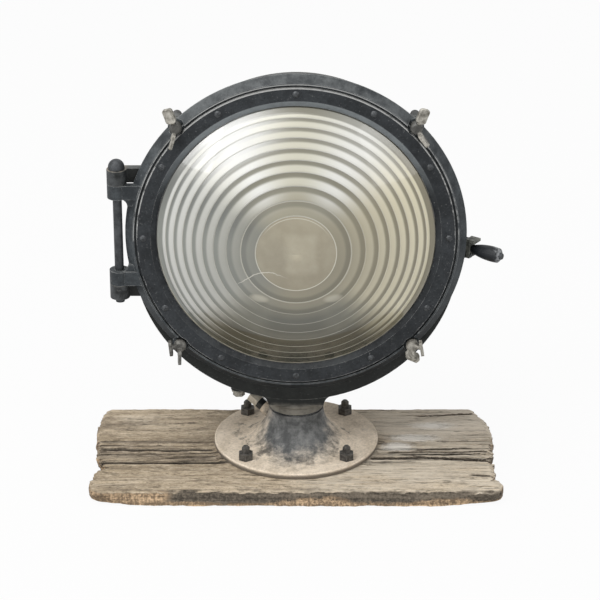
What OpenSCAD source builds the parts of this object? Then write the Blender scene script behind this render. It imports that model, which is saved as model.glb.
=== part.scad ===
// Ship searchlight on a board: panning head, hinged stepped-lens door, wing screw clamps.
// Millimetres. Z is up, the lens looks along -Y, the pan axis is the Z axis,
// and the origin lies on the underside of the board.

/* [Board] */
// Board length along X
board_l = 514; // [480:1:600]
// Board depth along Y
board_w = 228; // [216:1:280]
// Board thickness
board_t = 22; // [18:1:30]

/* [Pedestal] */
// Radius of the foot flange
flange_r = 104; // [102:1:120]
// Thickness of the foot flange
flange_t = 8; // [6:0.5:12]
// Pedestal height from board to seam
pedestal_h = 51; // [50:1:64]
// Radius of the neck, head and pedestal alike
neck_r = 34.5; // [33:0.5:38]
// Bolt centre to the edge of the foot flange
bolt_edge = 14.9; // [14:0.1:16]
// Bolt radius
bolt_r = 5; // [4:0.1:5.2]

/* [Head] */
// Outer radius of the door
door_r = 207; // [200:1:230]
// Ring screw plane in front of the pan axis
lens_off = 52; // [50:1:56]
// How far the centre of the belly lies below the lens axis
belly_drop = 26; // [22:1:30]
// Height of neck between seam and belly
neck_clear = 21; // [18:1:28]
// Wall of the housing
wall = 6; // [5:0.5:7]
// Rise of the lens from rim to crown
lens_rise = 52; // [40:1:60]
// Thickness of a lens step at its inner edge
lens_step = 10; // [9:0.5:13]

/* [Hinge and clamps] */
// Hinge pin radius
pin_r = 5.5; // [4.5:0.1:6]
// Radius of the hinge knuckles
knuckle_r = 12; // [10.5:0.5:12.5]
// Height of one knuckle
knuckle_h = 18; // [16:1:24]
// Clamp screw shank radius
clamp_shank_r = 5; // [4:0.1:5.4]
// Reach of a wing from its screw axis
wing_reach = 25; // [22:0.5:28]

/* [Handle] */
// Length of the grip
grip_l = 40; // [34:1:50]
// Largest radius of the grip
grip_r = 9.5; // [8:0.1:9.6]

/* [Lamp] */
// Radius of the lamp globe
globe_r = 28; // [24:1:32]
// Radius of the back mirror
mirror_r = 50; // [46:1:54]

/* [Fits] */
// Running clearance of pins and bushes
run_gap = 0.05; // [0.02:0.01:0.1]
// Side clearance between moving pieces
move_gap = 0.5; // [0.4:0.05:0.8]

/* [Hidden] */
$fn = 96;
board_y = -22;
flange_top = board_t + flange_t;
ped_top = board_t + pedestal_h;
washer_t = 3;
seam = ped_top + washer_t;
belly_r = door_r - 4;
belly_y = lens_off;
axis_z = seam + neck_clear + belly_r + belly_drop;
bush_r = 24;
spigot_r = 20 - run_gap;
bush_low = ped_top - 23;
ring_nut_top = bush_low - move_gap;
cord_bore = 13;
bolt_half = (flange_r - bolt_edge) / sqrt(2);
nut_h = 8.5;
nut_af = 3.4 * bolt_r;
bore_r = bolt_r + 0.5;
// Door section, radius and depth behind the ring screw plane
lip_y = -1;
back_y = 9.5;
spigot_y = 17;
ring_y = -2.5;
ring_back = 3;
ring_r = door_r - 14;
recess_r = door_r - 11;
pcd_r = door_r - 22;
face_in = door_r - 31;
ring_in = door_r - 38;
lens_r = door_r - 33;
pocket_r = lens_r + 1;
door_spigot_r = lens_r + 5;
ledge_r = door_r - 41;
dome_r = door_r - 39;
rim_y0 = ring_back + 1.5;
rim_y1 = rim_y0 + 5;
ledge_y = rim_y1 + 1.5;
// Lens surface
crown_y = 1 - lens_rise;
sag = lens_rise - 1.5;
lens_sphere = (dome_r * dome_r + sag * sag) / (2 * sag);
// Housing
face_y = back_y + 1;
rim_back = face_y + 9.5;
rim_r = door_r - 4;
open_r = door_spigot_r + 2;
bowl_y = 30;
bowl_r = door_r - 17;
bowl_in = bowl_r - wall + 1;
neck_fillet = 20;
neck_corner = 14;
drain_x = -72;
drain_y = belly_y - 16;
gasket_r0 = open_r + 5;
gasket_r1 = open_r + 12;
// Clamps
clamp_r = door_r - 5;
seat_y = 4.5;
boss_r = 8.5;
notch_r = boss_r + 2;
ear_r = boss_r + 1;
shank_end = face_y + 7;
sleeve_r = clamp_shank_r + 2.4;
sleeve_bore = clamp_shank_r + 1.1;
lug_r = sleeve_r + 2;
lug_back = 24;
// Hinge
pin_x = -(door_r + 8.5);
pin_y = back_y;
knuckle_top = 68;
knuckle_low = -64;
web_r = 9;
// Handle
handle_x = door_r + 4;
handle_y = 28;
handle_z = -25;
handle_turn = -35;
plate_t = 5;
plate_w = 13;
screw_gap = 3.6;
bolt6_r = 3;
// Lamp
lamp_y = 85;
shelf_z = -102;
shelf_t = 3;
upright_y = lamp_y + mirror_r + 5;
post_x = 45;
post_y = 72;
cap_z = -globe_r - 22;
// Gland, along a line that rises outwards from the pan axis
gland_turn = 148;
gland_rise = 30;
gland_z = board_t + 9;
gland_bore = 3.5;
gland_seat = 4.8;
gland_shell = 5.8;
// Leads of the lamp, behind the lamp axis
lead_r = 1.6;
lead_ys = [11, 15];
socket_r = 20;
block_x = -26;
// Zone edges of the stepped lens, as shares of the clear radius
zones = [0, 0.29, 0.4, 0.5, 0.595, 0.675, 0.75, 0.82, 0.885, 0.945, 0.98];

// Place head pieces: origin at the lens axis in the ring screw plane
module head_place() {
    translate([0, -lens_off, axis_z])
        children();
}

// Turn a profile drawn as radius and depth round the lens axis
module about_y() {
    rotate([-90, 0, 0])
        rotate_extrude()
            children();
}

// Round bar along Y
module bar_y(r, y0, y1) {
    translate([0, y0, 0])
        rotate([-90, 0, 0])
            cylinder(r = r, h = y1 - y0);
}

// Tube along Y
module tube_y(r0, r1, y0, y1) {
    difference() {
        bar_y(r1, y0, y1);
        bar_y(r0, y0 - 1, y1 + 1);
    }
}

// Move to one clamp, given its turn about the lens axis
module at_clamp(a) {
    rotate([0, a, 0])
        translate([clamp_r, 0, 0])
            children();
}

module at_clamps() {
    for (a = [-135, -45, 45, 135])
        at_clamp(a)
            children();
}

module at_bolts() {
    for (x = [-1, 1], y = [-1, 1])
        translate([x * bolt_half, y * bolt_half, 0])
            children();
}

module at_ring_screws() {
    for (i = [0 : 11])
        rotate([0, 30 * i, 0])
            translate([pcd_r, 0, 0])
                children();
}

// Handle frame: X runs outwards along the grip
module handle_place() {
    head_place()
        translate([handle_x, handle_y, handle_z])
            rotate([0, 0, handle_turn])
                children();
}

// Gland frame: Z runs outwards along the cable way
module gland_place() {
    translate([0, 0, gland_z])
        rotate([0, 90 - gland_rise, gland_turn])
            children();
}

module hex(af, h) {
    cylinder(r = af / sqrt(3), h = h, $fn = 6);
}

// Hinge knuckle with its height range
module knuckle(z0, z1) {
    translate([pin_x, pin_y, z0])
        cylinder(r = knuckle_r, h = z1 - z0);
}

// Weathered board with recesses for the bolt heads
module mounting_board() {
    color([0.62, 0.57, 0.50])
        difference() {
            translate([-board_l / 2, board_y - board_w / 2, 0])
                cube([board_l, board_w, board_t]);
            at_bolts()
                translate([0, 0, -1])
                    cylinder(r = bore_r, h = board_t + 2);
            at_bolts()
                translate([0, 0, -1])
                    cylinder(r = nut_af * 0.72, h = 9);
        }
}

// Bolts with their heads under the board and rounded ends on top
module base_bolts() {
    color([0.22, 0.18, 0.15])
        at_bolts() {
            translate([0, 0, 1.5])
                rotate(30)
                    hex(nut_af, 6.5);
            translate([0, 0, 5])
                cylinder(r = bolt_r, h = flange_top + nut_h + 2);
            translate([0, 0, flange_top + nut_h + 7])
                cylinder(r1 = bolt_r, r2 = bolt_r * 0.6, h = 2.5);
        }
}

// Hexagon nuts on the foot flange
module base_nuts() {
    color([0.24, 0.20, 0.17])
        at_bolts()
            translate([0, 0, flange_top])
                difference() {
                    rotate(30)
                        hex(nut_af, nut_h);
                    translate([0, 0, -1])
                        cylinder(r = bolt_r, h = nut_h + 2);
                }
}

// Cast pedestal: foot flange, flared bell and bearing neck
module pedestal() {
    flare = ped_top - 1 - flange_top;
    color([0.50, 0.47, 0.42])
        difference() {
            union() {
                rotate_extrude()
                    polygon([[0, board_t], [flange_r - 1, board_t], [flange_r, board_t + 1],
                        [flange_r, flange_top - 2], [flange_r - 2, flange_top], [0, flange_top]]);
                translate([0, 0, board_t])
                    cylinder(r = neck_r, h = pedestal_h);
                rotate_extrude()
                    difference() {
                        translate([neck_r - 8, flange_top - 1])
                            square([flare + 8, flare + 1]);
                        translate([neck_r + flare, ped_top - 1])
                            circle(r = flare);
                    }
                gland_place()
                    translate([0, 0, 34])
                        cylinder(r = gland_shell + 2.4, h = 22);
            }
            translate([0, 0, bush_low - 1])
                cylinder(r = bush_r, h = 40);
            rotate_extrude()
                polygon([[0, board_t - 1], [67, board_t - 1], [66, board_t], [36, bush_low - 6],
                    [30, bush_low - 4], [30, bush_low], [0, bush_low]]);
            gland_place()
                translate([0, 0, 20])
                    cylinder(r = gland_shell, h = 40);
            at_bolts()
                cylinder(r = bore_r, h = flange_top + 1);
        }
}

// Plain bearing in the pedestal neck
module pan_bush() {
    color([0.70, 0.52, 0.25])
        translate([0, 0, bush_low])
            difference() {
                cylinder(r = bush_r, h = ped_top - bush_low);
                translate([0, 0, -1])
                    cylinder(r = spigot_r + run_gap, h = ped_top - bush_low + 2);
            }
}

// Thrust washer that shows as the dark seam under the head
module thrust_washer() {
    color([0.16, 0.16, 0.17])
        translate([0, 0, ped_top])
            difference() {
                cylinder(r = neck_r - 2.5, h = washer_t - 0.05);
                translate([0, 0, -1])
                    cylinder(r = spigot_r + 1, h = washer_t + 2);
            }
}

// Gland body in the pedestal boss
module gland_body() {
    color([0.07, 0.07, 0.07])
        gland_place()
            difference() {
                union() {
                    translate([0, 0, 44])
                        cylinder(r = gland_shell, h = 24);
                    translate([0, 0, 56])
                        hex(14, 8);
                }
                translate([0, 0, 43])
                    cylinder(r = gland_bore, h = 26);
                translate([0, 0, 62])
                    cylinder(r = gland_seat, h = 7);
            }
}

// Rubber seal pressed between gland body and nut
module gland_seal() {
    color([0.05, 0.05, 0.05])
        gland_place()
            translate([0, 0, 62])
                difference() {
                    cylinder(r = gland_seat, h = 11);
                    translate([0, 0, -1])
                        cylinder(r = gland_bore, h = 13);
                }
}

// Gland nut
module gland_nut() {
    color([0.68, 0.58, 0.40])
        gland_place()
            difference() {
                translate([0, 0, 64])
                    hex(15, 14);
                translate([0, 0, 63])
                    cylinder(r = gland_shell, h = 5);
                translate([0, 0, 63])
                    cylinder(r = gland_seat, h = 10);
                translate([0, 0, 63])
                    cylinder(r = gland_bore, h = 20);
            }
}

// Ball cut off flat at a given depth
module cut_ball(r, y0) {
    about_y()
        intersection() {
            circle(r = r);
            translate([0, y0])
                square([r + 1, r + 1 - y0]);
        }
}

// Move to the centre of the belly
module belly_place() {
    translate([0, belly_y, -belly_drop])
        rotate([0, -90, 0])
            children();
}

// Room inside the bowl and the belly
module housing_room() {
    translate([0, bowl_y, 0])
        cut_ball(bowl_in, face_y + wall - bowl_y);
    belly_place()
        cut_ball(belly_r - wall, face_y + wall - belly_y);
}

// Solid outside of the cast housing, in the head frame
module housing_solid() {
    translate([0, bowl_y, 0])
        cut_ball(bowl_r, face_y - bowl_y);
    bar_y(rim_r, face_y, rim_back);
    belly_place()
        cut_ball(belly_r, face_y - belly_y);
}

// Lugs that carry the clamp sleeves
module clamp_lugs() {
    at_clamps()
        bar_y(lug_r, face_y + 1, lug_back);
}

// Boss under the handle bracket
module handle_boss() {
    translate([handle_x, handle_y, handle_z])
        rotate([0, 0, handle_turn])
            translate([-30, -plate_w / 2 - 1, -11])
                cube([30, plate_w + 2, 21]);
}

// Knuckles of the housing with the arms that reach back to its rim
module housing_knuckles() {
    knuckle(knuckle_top, knuckle_top + knuckle_h);
    knuckle(knuckle_low - knuckle_h, knuckle_low);
    for (z = [knuckle_top, knuckle_low - knuckle_h])
        translate([pin_x, face_y, z])
            cube([knuckle_r + 23, knuckle_r - 1, knuckle_h]);
}

// Posts inside the housing that carry the lamp bracket
module lamp_posts() {
    for (x = [-post_x, post_x])
        translate([x, post_y, -belly_r - belly_drop])
            cylinder(r = 8, h = belly_r + belly_drop + shelf_z - shelf_t);
}

// Place of the drain plug under the belly
module drain_place() {
    off = drain_y - belly_y;
    translate([drain_x, drain_y, -belly_drop - sqrt(belly_r * belly_r - drain_x * drain_x - off * off)])
        children();
}

// Boss of the drain plug
module drain_boss() {
    drain_place()
        translate([0, 0, -6])
            cylinder(r = 10, h = 20);
}

// Web that rounds the corners between neck and belly at the housing face
module neck_web() {
    face_r = sqrt(belly_r * belly_r - pow(belly_y - face_y, 2));
    reach = face_r + neck_corner;
    ring = neck_r + neck_corner;
    half = ring * face_r / reach;
    low = 0.5 - belly_drop - sqrt(reach * reach - ring * ring);
    translate([0, belly_y, 0])
        rotate([90, 0, 0])
            linear_extrude(height = belly_y - face_y - 0.6)
                difference() {
                    translate([-half, low])
                        square([2 * half, neck_corner + 2]);
                    for (x = [-ring, ring])
                        translate([x, low])
                            circle(r = neck_corner);
                }
}

// Neck below the belly, with a fillet tangent to both that stays behind the housing face
module housing_neck() {
    reach = belly_r + neck_fillet;
    ring = neck_r + neck_fillet;
    rise = sqrt(reach * reach - ring * ring);
    low = axis_z - belly_drop - rise + 0.4;
    translate([0, 0, seam])
        cylinder(r = neck_r, h = neck_clear + 14);
    rotate_extrude()
        translate([neck_r - 1.5, seam + 12.5])
            circle(r = 5);
    head_place()
        neck_web();
    intersection() {
        translate([0, 0, low])
            rotate_extrude()
                difference() {
                    square([ring * belly_r / reach, neck_fillet]);
                    translate([ring, 0])
                        circle(r = neck_fillet);
                }
        translate([-200, face_y + 1 - lens_off, seam])
            cube([400, 300, 60]);
    }
    translate([0, 0, ring_nut_top - 12])
        cylinder(r = spigot_r, h = seam - ring_nut_top + 13);
}

// Cast housing: bowl, belly, rim, neck and bearing spigot
module housing() {
    color([0.20, 0.21, 0.22])
        difference() {
            union() {
                head_place() {
                    housing_solid();
                    clamp_lugs();
                    handle_boss();
                    housing_knuckles();
                    drain_boss();
                }
                housing_neck();
            }
            head_place() {
                difference() {
                    housing_room();
                    clamp_lugs();
                    lamp_posts();
                    drain_boss();
                }
                bar_y(open_r, face_y - 1, rim_back);
                tube_y(gasket_r0, gasket_r1, face_y - 1, face_y + 3);
                at_clamps()
                    bar_y(sleeve_r, face_y - 1, lug_back + 1);
                translate([pin_x, pin_y, knuckle_low - knuckle_h - 1])
                    cylinder(r = pin_r, h = knuckle_top - knuckle_low + 2 * knuckle_h + 2);
                for (x = [-post_x, post_x])
                    translate([x, post_y, shelf_z - shelf_t - 14])
                        cylinder(r = 2.5, h = 20);
                drain_place()
                    translate([0, 0, -10])
                        cylinder(r = 6, h = 30);
            }
            translate([0, 0, ring_nut_top - 13])
                cylinder(r = cord_bore, h = 60);
            translate([0, 0, seam + 8])
                cylinder(r = neck_r - 8, h = 60);
            handle_place()
                handle_holes();
        }
}

// Threaded holes in the handle boss
module handle_holes() {
    rotate([0, -90, 0])
        cylinder(r = bolt6_r, h = 16);
    for (y = [-screw_gap, screw_gap])
        translate([0, y, -8])
            rotate([0, -90, 0])
                cylinder(r = 1.6, h = 9);
}

// Ring nut that keeps the head on the pedestal
module ring_nut() {
    color([0.45, 0.42, 0.36])
        translate([0, 0, ring_nut_top - 9])
            difference() {
                cylinder(r = 27, h = 9);
                translate([0, 0, -1])
                    cylinder(r = spigot_r, h = 11);
                for (a = [0, 90])
                    rotate([0, 0, a])
                        translate([-30, -2.5, -1])
                            cube([60, 5, 3.5]);
            }
}

// Drain plug under the belly
module drain_plug() {
    color([0.62, 0.62, 0.60])
        head_place()
            drain_place() {
                translate([0, 0, -6])
                    cylinder(r = 6, h = 12);
                translate([0, 0, -9])
                    cylinder(r = 9, h = 3);
                translate([0, 0, -15])
                    hex(13, 6);
            }
}

// Rubber ring that the door closes on
module door_gasket() {
    color([0.06, 0.06, 0.06])
        head_place()
            tube_y(gasket_r0, gasket_r1, back_y + 0.1, face_y + 3);
}

// Threaded sleeves behind the rim that take the clamp screws
module clamp_sleeves() {
    color([0.20, 0.18, 0.16])
        head_place()
            at_clamps() {
                difference() {
                    bar_y(sleeve_r, face_y, lug_back + 4);
                    bar_y(sleeve_bore, face_y - 1, shank_end + 3);
                }
                bar_y(sleeve_r - 1.6, lug_back + 4, lug_back + 20);
            }
}

// Hinge pin with a domed head
module hinge_pin() {
    top = knuckle_top + knuckle_h;
    low = knuckle_low - knuckle_h;
    color([0.24, 0.24, 0.25])
        head_place()
            translate([pin_x, pin_y, 0]) {
                translate([0, 0, low - 6])
                    cylinder(r = pin_r, h = top - low + 6);
                translate([0, 0, top])
                    cylinder(r = knuckle_r - 2, h = 2.5);
                intersection() {
                    translate([0, 0, top + 2.5])
                        sphere(r = knuckle_r - 2);
                    translate([-20, -20, top + 2.5])
                        cube([40, 40, 20]);
                }
            }
}

// Shelf and upright that carry lamp, terminals and mirror
module lamp_bracket() {
    color([0.55, 0.55, 0.53])
        head_place()
            difference() {
                union() {
                    translate([-56, post_y - 12, shelf_z - shelf_t])
                        cube([112, upright_y + 3 - post_y + 12, shelf_t]);
                    translate([-15, upright_y, shelf_z])
                        cube([30, 3, 12 - shelf_z]);
                }
                for (x = [-post_x, post_x])
                    translate([x, post_y, shelf_z - shelf_t - 1])
                        cylinder(r = 2.5, h = shelf_t + 2);
                bar_y(3, upright_y - 1, upright_y + 4);
            }
}

// Screws that hold the lamp bracket on its posts
module lamp_bracket_screws() {
    color([0.60, 0.58, 0.52])
        head_place()
            for (x = [-post_x, post_x])
                translate([x, post_y, 0]) {
                    translate([0, 0, shelf_z - shelf_t - 10])
                        cylinder(r = 2.5, h = shelf_t + 10);
                    translate([0, 0, shelf_z])
                        cylinder(r = 4.5, h = 3);
                }
}

// Spherical mirror behind the lamp
module back_mirror() {
    color([0.85, 0.86, 0.88])
        head_place()
            difference() {
                translate([0, lamp_y, 0])
                    sphere(r = mirror_r + 2);
                translate([0, lamp_y, 0])
                    sphere(r = mirror_r);
                translate([-100, lamp_y - 100, -100])
                    cube([200, 115, 200]);
                bar_y(3, lamp_y, lamp_y + 80);
            }
}

// Stud and nuts between mirror and upright
module mirror_stud() {
    color([0.60, 0.58, 0.52])
        head_place() {
            bar_y(3, lamp_y + mirror_r - 3, upright_y + 9);
            difference() {
                bar_y(6, lamp_y + mirror_r + 2, upright_y);
                bar_y(3, lamp_y, upright_y + 1);
                translate([0, lamp_y, 0])
                    sphere(r = mirror_r + 2);
            }
            translate([0, upright_y + 3, 0])
                rotate([-90, 0, 0])
                    difference() {
                        hex(10, 5);
                        translate([0, 0, -1])
                            cylinder(r = 3, h = 7);
                    }
        }
}

// Ceramic lamp holder
module lamp_socket() {
    color([0.86, 0.83, 0.76])
        head_place()
            translate([0, lamp_y, 0])
                difference() {
                    translate([0, 0, shelf_z])
                        cylinder(r = socket_r, h = cap_z - shelf_z - 4);
                    translate([0, 0, cap_z - 26])
                        cylinder(r = 13.5, h = 40);
                    lead_runs(lead_r + 0.05);
                }
}

// Metal cap of the lamp
module lamp_cap() {
    color([0.72, 0.60, 0.32])
        head_place()
            translate([0, lamp_y, 0])
                difference() {
                    translate([0, 0, cap_z - 26])
                        cylinder(r = 13.5, h = 26);
                    translate([0, 0, cap_z - 20])
                        cylinder(r = 12.5, h = 30);
                }
}

// Glass globe of the lamp
module lamp_globe() {
    color([0.90, 0.92, 0.92, 0.4])
        head_place()
            translate([0, lamp_y, 0])
                difference() {
                    union() {
                        sphere(r = globe_r);
                        translate([0, 0, cap_z - 6])
                            cylinder(r = 12.5, h = -cap_z - 14);
                    }
                    sphere(r = globe_r - 1);
                    translate([0, 0, cap_z - 4])
                        cylinder(r = 11.5, h = 30);
                }
}

// Filament on its two supports
module lamp_filament() {
    color([0.35, 0.35, 0.36])
        head_place()
            translate([0, lamp_y, 0]) {
                translate([-7, 0, 0])
                    rotate([0, 90, 0])
                        cylinder(r = 1.2, h = 14);
                for (x = [-6, 6])
                    translate([x, 0, cap_z - 4])
                        cylinder(r = 0.6, h = -cap_z + 4);
            }
}

// Terminal block on the lamp bracket
module terminal_block() {
    color([0.14, 0.11, 0.09])
        head_place()
            difference() {
                translate([block_x - 28, lamp_y + 8, shelf_z])
                    cube([28, 34, 16]);
                for (y = [16, 34])
                    translate([-40, lamp_y + y, shelf_z + 6])
                        cylinder(r = 2, h = 20);
            }
}

// Screws of the terminal block
module terminal_screws() {
    color([0.72, 0.60, 0.32])
        head_place()
            for (y = [16, 34])
                translate([-40, lamp_y + y, 0]) {
                    translate([0, 0, shelf_z + 6])
                        cylinder(r = 2, h = 10);
                    translate([0, 0, shelf_z + 16])
                        cylinder(r = 4, h = 2.5);
                }
}

// Straight runs from the terminal block into the lamp holder, about the lamp axis
module lead_runs(r) {
    for (y = lead_ys)
        translate([block_x, y, shelf_z + 8])
            rotate([0, 90, 0])
                cylinder(r = r, h = 5 - block_x - sqrt(socket_r * socket_r - y * y));
}

// Insulated leads of the lamp
module lamp_leads() {
    color([0.20, 0.07, 0.06])
        head_place()
            translate([0, lamp_y, 0])
                lead_runs(lead_r);
}

// Angle plate that carries the grip
module handle_bracket() {
    color([0.45, 0.46, 0.45])
        handle_place()
            difference() {
                union() {
                    translate([0, -plate_w / 2, -11])
                        cube([plate_t, plate_w, 11 + grip_r + 4.1]);
                    translate([0, -plate_w / 2, grip_r + 0.6])
                        cube([plate_w, plate_w, 3.5]);
                }
                translate([-1, 0, 0])
                    rotate([0, 90, 0])
                        cylinder(r = bolt6_r, h = plate_t + 2);
                for (y = [-screw_gap, screw_gap])
                    translate([-1, y, -8])
                        rotate([0, 90, 0])
                            cylinder(r = 1.6, h = plate_t + 2);
            }
}

// Small screws of the handle bracket
module handle_screws() {
    color([0.30, 0.30, 0.30])
        handle_place()
            for (y = [-screw_gap, screw_gap])
                translate([0, y, -8])
                    rotate([0, 90, 0]) {
                        translate([0, 0, -7])
                            cylinder(r = 1.6, h = plate_t + 7);
                        translate([0, 0, plate_t])
                            cylinder(r = 2.4, h = 1.2);
                    }
}

// Bolt that the grip turns on
module handle_bolt() {
    color([0.60, 0.58, 0.55])
        handle_place()
            rotate([0, 90, 0]) {
                translate([0, 0, -14])
                    cylinder(r = bolt6_r, h = plate_t + grip_l + 14 + 2 * move_gap);
                translate([0, 0, plate_t + grip_l + 2 * move_gap])
                    cylinder(r1 = 4.5, r2 = 3.6, h = 2);
            }
}

// Grip, fuller towards its rounded outer end
module handle_grip() {
    color([0.06, 0.06, 0.07])
        handle_place()
            translate([plate_t + move_gap, 0, 0])
                rotate([0, 90, 0])
                    difference() {
                        rotate_extrude()
                            intersection() {
                                translate([grip_r - 85, grip_l * 0.7])
                                    circle(r = 85, $fn = 240);
                                square([grip_r + 1, grip_l]);
                                union() {
                                    square([grip_r + 1, grip_l - 5]);
                                    translate([0, grip_l - 11])
                                        circle(r = 12);
                                }
                            }
                        translate([0, 0, -1])
                            cylinder(r = bolt6_r + run_gap, h = grip_l + 2);
                    }
}

// Arm and knuckle of the door
module door_knuckle(z0, z1) {
    knuckle(z0, z1);
    difference() {
        translate([pin_x, lip_y + 0.5, z0])
            cube([40, back_y - lip_y - 0.5, z1 - z0]);
        bar_y(recess_r + 0.3, lip_y - 1, back_y + 1);
    }
}

// Web in the corner between the door band and the inner side of an arm
module door_web(z) {
    reach = door_r + web_r;
    low = z - web_r;
    x = -sqrt(reach * reach - low * low);
    translate([0, back_y - 0.5, 0])
        rotate([90, 0, 0])
            linear_extrude(height = back_y - 2.5)
                difference() {
                    translate([x, low])
                        square([pin_x + 22 - x, web_r + 1]);
                    translate([x, low])
                        circle(r = web_r);
                }
}

// Cast door frame with lens pocket, clamp ears and hinge arms
module door_frame() {
    color([0.22, 0.23, 0.24])
        head_place()
            difference() {
                union() {
                    about_y()
                        polygon([[recess_r, lip_y], [recess_r + 2, lip_y], [door_r, 8], [door_r, back_y],
                            [door_spigot_r, back_y], [door_spigot_r, spigot_y], [ledge_r, spigot_y],
                            [ledge_r, ledge_y], [pocket_r, ledge_y], [pocket_r, ring_back],
                            [recess_r, ring_back]]);
                    at_clamps()
                        bar_y(ear_r, seat_y, back_y);
                    door_knuckle(knuckle_top - move_gap - knuckle_h, knuckle_top - move_gap);
                    door_knuckle(knuckle_low + move_gap, knuckle_low + move_gap + knuckle_h);
                    door_web(knuckle_top - move_gap - knuckle_h);
                    mirror([0, 0, 1])
                        door_web(-knuckle_low - move_gap - knuckle_h);
                }
                at_clamps() {
                    bar_y(notch_r, -10, seat_y);
                    bar_y(clamp_shank_r + 0.3, -10, back_y + 1);
                    translate([0, -10, -clamp_shank_r - 0.3])
                        cube([30, back_y + 11, 2 * clamp_shank_r + 0.6]);
                }
                at_ring_screws()
                    bar_y(2.2, 0, ring_back + 5.5);
                translate([pin_x, pin_y, -200])
                    cylinder(r = pin_r + run_gap, h = 400);
            }
}

// Depth of the lens surface at a radius
function lens_y(r) = crown_y + lens_sphere - sqrt(lens_sphere * lens_sphere - r * r);

// Stepped lens: smooth outside, prism rings inside
module fresnel_lens() {
    clear = dome_r - 1;
    color([0.80, 0.79, 0.70, 0.6])
        head_place()
            about_y()
                difference() {
                    union() {
                        intersection() {
                            translate([0, crown_y + lens_sphere])
                                circle(r = lens_sphere, $fn = 360);
                            translate([0, crown_y - 1])
                                square([dome_r, rim_y1 - crown_y + 1]);
                        }
                        translate([dome_r - 20, rim_y0])
                            square([lens_r - dome_r + 20, rim_y1 - rim_y0]);
                    }
                    polygon(concat(
                        [for (i = [0 : 2 * len(zones) - 3])
                            let(k = floor((i + 1) / 2), r = clear * zones[k])
                            [r, lens_y(r) + (i % 2 == 0 ? lens_step : lens_step - 4)]],
                        [[clear * 0.98, 100], [0, 100]]));
                }
}

// Soft rings before and behind the lens rim
module lens_gaskets() {
    color([0.08, 0.08, 0.08])
        head_place() {
            tube_y(dome_r + 2, lens_r, ring_back, rim_y0);
            tube_y(ledge_r + 0.5, lens_r, rim_y1, ledge_y);
        }
}

// Bevelled ring that holds the lens in the door
module retaining_ring() {
    color([0.24, 0.25, 0.26])
        head_place()
            difference() {
                about_y()
                    polygon([[ring_in, 1.5], [face_in, ring_y], [ring_r, ring_y], [ring_r, ring_back],
                        [ring_in, ring_back]]);
                at_ring_screws()
                    bar_y(2.2, ring_y - 1, ring_back + 1);
                at_clamps()
                    bar_y(notch_r, ring_y - 1, ring_back + 1);
            }
}

// Slotted round-head screws of the lens ring
module ring_screws() {
    color([0.40, 0.40, 0.40])
        head_place()
            at_ring_screws() {
                bar_y(2.2, ring_y, ring_back + 5);
                difference() {
                    intersection() {
                        translate([0, ring_y + 2.7, 0])
                            sphere(r = 4.9);
                        bar_y(6, ring_y - 4, ring_y);
                    }
                    translate([-6, ring_y - 4, -0.6])
                        cube([12, 2.5, 1.2]);
                }
            }
}

// Wing screw: boss, shank and two raised wings, turned to its resting angle
module wing_screw(a, turn) {
    color([0.66, 0.64, 0.58])
        head_place()
            at_clamp(a)
                rotate([0, turn, 0]) {
                    bar_y(clamp_shank_r, seat_y - 1, shank_end);
                    bar_y(boss_r, -3, seat_y);
                    translate([0, -3, 0])
                        rotate([90, 0, 0])
                            cylinder(r1 = boss_r, r2 = boss_r - 2.5, h = 6);
                    for (m = [0, 1])
                        mirror([m, 0, 0])
                            translate([0, 0, -2])
                                linear_extrude(height = 4) {
                                    polygon([[4, 0], [8.2, -1], [10, -4.2], [wing_reach - 1.5, -12],
                                        [wing_reach - 13, -21], [4, -8]]);
                                    translate([wing_reach - 7.5, -16.5])
                                        circle(r = 7.5);
                                }
                }
}

module wing_screw_tl() {
    wing_screw(-135, 28);
}

module wing_screw_tr() {
    wing_screw(-45, -28);
}

module wing_screw_bl() {
    wing_screw(135, 78);
}

module wing_screw_br() {
    wing_screw(45, 108);
}

mounting_board();
base_bolts();
base_nuts();
pedestal();
pan_bush();
thrust_washer();
gland_body();
gland_seal();
gland_nut();
housing();
ring_nut();
drain_plug();
door_gasket();
clamp_sleeves();
hinge_pin();
lamp_bracket();
lamp_bracket_screws();
back_mirror();
mirror_stud();
lamp_socket();
lamp_cap();
lamp_globe();
lamp_filament();
terminal_block();
terminal_screws();
lamp_leads();
handle_bracket();
handle_screws();
handle_bolt();
handle_grip();
door_frame();
fresnel_lens();
lens_gaskets();
retaining_ring();
ring_screws();
wing_screw_tl();
wing_screw_tr();
wing_screw_bl();
wing_screw_br();
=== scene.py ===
# %% [markdown]
# # A ship searchlight
# This lesson dresses a finished CAD model of an old ship searchlight.
# The CAD solids give every size and every joint.
# Blender adds the finishes, the worn board and the soft cast shapes.

# %% Load the solids
import math

import bpy
from mathutils import Matrix, Vector, noise


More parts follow.
